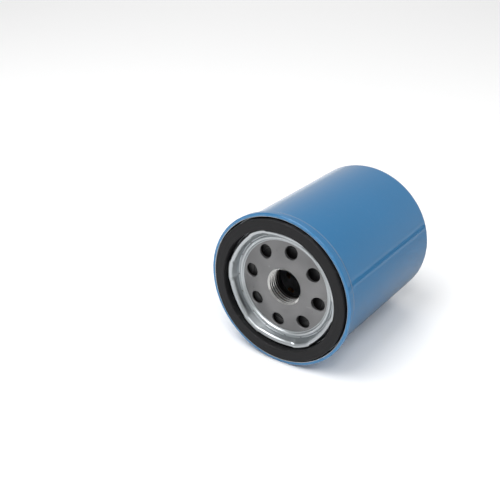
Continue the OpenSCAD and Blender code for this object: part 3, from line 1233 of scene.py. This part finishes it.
@dataclass
class DrainValve(Piece):
    """Rubber valve behind the inlet holes: a sleeve round the collar and a conical skirt."""

    node, slot, finishes = "anti_drain_valve", "valve_rubber", (Finish.VALVE_RUBBER,)
    body = "drain_valve"
    sleeve_r: float = 12.48
    skirt_r: float = 27.5
    rest_y: float = 3.05

    def shape(self) -> bpy.types.Object:
        """Turns the moulding with softened edges and a rib on the skirt.

        Returns:
            The valve.
        """
        y = self.rest_y
        corners = [
            Corner(self.sleeve_r, y + 2.0), Corner(self.sleeve_r, y + 4.6, 0.3),
            Corner(self.sleeve_r + 1.6, y + 4.6, 0.4), Corner(self.sleeve_r + 2, y + 3.2, 0.9),
            Corner(26, y + 1, 0.9), Corner(self.skirt_r, y + 0.9, 0.3),
            Corner(self.skirt_r, y, 0.2), Corner(25.6, y, 0.4), Corner(21.2, y + 0.65, 0.2),
            Corner(20.9, y + 0.35, 0.12), Corner(20.4, y + 0.42, 0.12), Corner(20.2, y + 0.8, 0.2),
            Corner(self.sleeve_r + 1.6, y + 1.7, 0.8), Corner(self.sleeve_r, y + 1.1, 0.2),
        ]
        return turned("rubber_drain_valve", filleted(corners), steps=160)


@dataclass
class BypassSpring(Piece):
    """Coil that holds the bypass valve shut. The real spring shortens as the valve opens; this one
    keeps its length.
    """

    node, slot, finishes = "bypass_spring", "spring_steel", (Finish.WIRE,)
    low: float = 54.51
    high: float = 66.74
    travel: float = 3.5
    mean_r: float = 6.5
    wire_r: float = 0.5
    turns: int = 6

    def shape(self) -> bpy.types.Object:
        """Winds the spring."""
        name = "bypass_valve_spring"
        return coil(name, self.mean_r, self.wire_r, self.low, self.high, self.turns)

    def build(self, wardrobe: Wardrobe) -> bpy.types.Object:
        """Builds the spring and gives it a mesh of its own.

        Args:
            wardrobe: makes and keeps the finishes.

        Returns:
            The finished spring.
        """
        spring = super().build(wardrobe)
        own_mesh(spring)
        return spring


@dataclass
class InnerPieces:
    """The pieces that keep their CAD shape, each with its finish."""

    finishes: dict[str, Finish] = field(default_factory=lambda: {
        "seam_sealant": Finish.COMPOUND,
        "projection_welds": Finish.WELD,
        "element_gasket": Finish.VALVE_RUBBER,
        "lower_end_cap": Finish.TINNED,
        "upper_end_cap": Finish.TINNED,
        "lower_potting": Finish.ADHESIVE,
        "upper_potting": Finish.ADHESIVE,
        "centre_tube": Finish.TUBE,
        "media_seam_clip": Finish.TUBE,
        "pleated_media": Finish.PAPER,
        "bypass_seat": Finish.VALVE,
        "bypass_cage": Finish.VALVE,
        "bypass_disc": Finish.VALVE,
        "bypass_stem": Finish.VALVE,
        "bypass_seal": Finish.VALVE_RUBBER,
        "bypass_stem_clip": Finish.WIRE,
        "spring_plate": Finish.TINNED,
        "support_spring": Finish.WIRE,
    })

    def build(self, wardrobe: Wardrobe) -> None:
        """Dresses each CAD node.

        Args:
            wardrobe: makes and keeps the finishes.
        """
        for node, finish in self.finishes.items():
            wardrobe.dress(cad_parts[node], finish)
            LOG.info("%s: CAD piece in %s", node, finish.name.lower())


# ---------- studio

@dataclass(frozen=True)
class SoftBox:
    """A square area light that looks at the filter."""

    name: str
    azimuth: float
    elevation: float
    distance: float
    size: float
    watts: float
    mirrored: bool = True

    def place(self, target: Vector) -> None:
        """Sets the light up.

        Args:
            target: the point that it looks at, in metres.
        """
        a, e = math.radians(self.azimuth), math.radians(self.elevation)
        back = Vector((math.sin(a) * math.cos(e), -math.cos(a) * math.cos(e), math.sin(e)))
        data = bpy.data.lights.new(self.name, "AREA")
        data.shape = "SQUARE"
        data.size = self.size
        data.energy = self.watts
        light = bpy.data.objects.new(self.name, data)
        light.location = target + back * self.distance
        light.rotation_euler = (-back).to_track_quat("-Z", "Y").to_euler()
        light.visible_glossy = self.mirrored
        bpy.context.scene.collection.objects.link(light)


@dataclass
class Studio:
    """Pale floor, soft light and the camera."""

    azimuth: float = 35.8
    elevation: float = 26.2
    focal_mm: float = 56.4
    camera_side: float = -13.4
    camera_up: float = 19.95
    camera_back: float = 378.0
    floor_size: float = 6.0

    def sheet(self, name: str, centre: tuple[float, float, float], size: tuple, grey: float) -> object:
        """Lays a matt sheet on the plane under the seam's rim and the dome's shoulder.

        Args:
            name: the sheet's name.
            centre: its place along X and Y and its height above the plane, in metres.
            size: its width and length, in metres.
            grey: how light it is.

        Returns:
            The sheet.
        """
        rim, shoulder = Vector((-3.5, -39.9)) * MM, Vector((81.0, -38.0)) * MM
        slope = math.atan2(shoulder.y - rim.y, shoulder.x - rim.x)
        x, y, lift = centre
        z = rim.y + (y - rim.x) * math.tan(slope) + lift
        clear_selection()
        bpy.ops.mesh.primitive_plane_add(size=1, location=(x, y, z), rotation=(slope, 0, 0))
        made = bpy.context.object
        made.name = name
        made.scale = (*size, 1)
        material = bpy.data.materials.new(name)
        material.use_nodes = True
        shader = material.node_tree.nodes["Principled BSDF"]
        shader.inputs["Base Color"].default_value = (grey, grey, grey, 1)
        shader.inputs["Roughness"].default_value = 0.9
        made.data.materials.append(material)
        return made

    def floor(self) -> None:
        """Lays the white floor, and two cards beside the filter that only reflections show."""
        self.sheet("studio_floor", (0, 0, -0.00005), (self.floor_size, self.floor_size), 0.93)
        dark = self.sheet("dark_card", (0.255, 0.92, 0.001), (0.125, 1.8), 0.01)
        grey = self.sheet("grey_card", (0.083, 0.92, 0.001), (0.165, 1.8), 0.4)
        for card in (dark, grey):
            card.visible_camera = card.visible_diffuse = card.visible_shadow = False

    def surround(self) -> None:
        """Lights the room softly: a pale surround, a little brighter towards the horizon than overhead.
        """
        world = bpy.data.worlds.new("studio")
        bpy.context.scene.world = world
        world.use_nodes = True
        sheet = Sheet(world.node_tree)
        height = sheet.coordinate(sheet.node("TexCoord").outputs["Generated"], 2)
        level = sheet.span(height, 0.05, 0.6, (0.64, 0.53))
        background = world.node_tree.nodes["Background"]
        sheet.feed(background.inputs["Color"], (1.0, 1.0, 1.0, 1))
        sheet.feed(background.inputs["Strength"], level)

    def lights(self) -> None:
        """Sets up the soft boxes."""
        target = Vector((0, 0.04, 0))
        for box in (
            SoftBox("key_box", -20, 62, 1.1, 0.7, 8.5),
            SoftBox("side_box", 95, 48, 1.2, 0.5, 1.8),
            SoftBox("face_box", 34, 49, 0.9, 0.2, 1.6),
        ):
            box.place(target)
        far_floor = Vector((-0.9, 1.2, 0))
        SoftBox("far_box", 0, 90, 1.2, 1.0, 5.0, mirrored=False).place(far_floor)

    def camera(self) -> None:
        """Aims the camera at the mounting end, from its front and above."""
        a, e = math.radians(self.azimuth), math.radians(self.elevation)
        right = Vector((math.cos(a), math.sin(a), 0))
        up = Vector((-math.sin(a) * math.sin(e), math.cos(a) * math.sin(e), math.cos(e)))
        ahead = Vector((-math.sin(a) * math.cos(e), math.cos(a) * math.cos(e), -math.sin(e)))
        seam_centre = Vector((0, -5.0, 0))
        data = bpy.data.cameras.new("camera")
        data.lens = self.focal_mm
        data.sensor_width = 36.0
        data.clip_start, data.clip_end = 0.01, 50.0
        camera = bpy.data.objects.new("camera", data)
        camera.location = MM * (
            seam_centre + right * self.camera_side + up * self.camera_up - ahead * self.camera_back
        )
        camera.rotation_euler = ahead.to_track_quat("-Z", "Y").to_euler()
        bpy.context.scene.collection.objects.link(camera)
        bpy.context.scene.camera = camera

    def build(self) -> None:
        """Sets up the whole studio."""
        self.floor()
        self.surround()
        self.lights()
        self.camera()
        bpy.context.scene.view_settings.view_transform = "Standard"


def main() -> None:
    """Builds every piece in order, then the studio."""
    logging.basicConfig(level=logging.INFO, format="%(name)s: %(message)s")
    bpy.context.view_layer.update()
    wardrobe = Wardrobe()
    for piece in (Can(), Lid(), Gasket(), TappingPlate(), DrainValve(), BypassSpring(), InnerPieces()):
        piece.build(wardrobe)
    Studio().build()


if __name__ == "__main__":
    main()
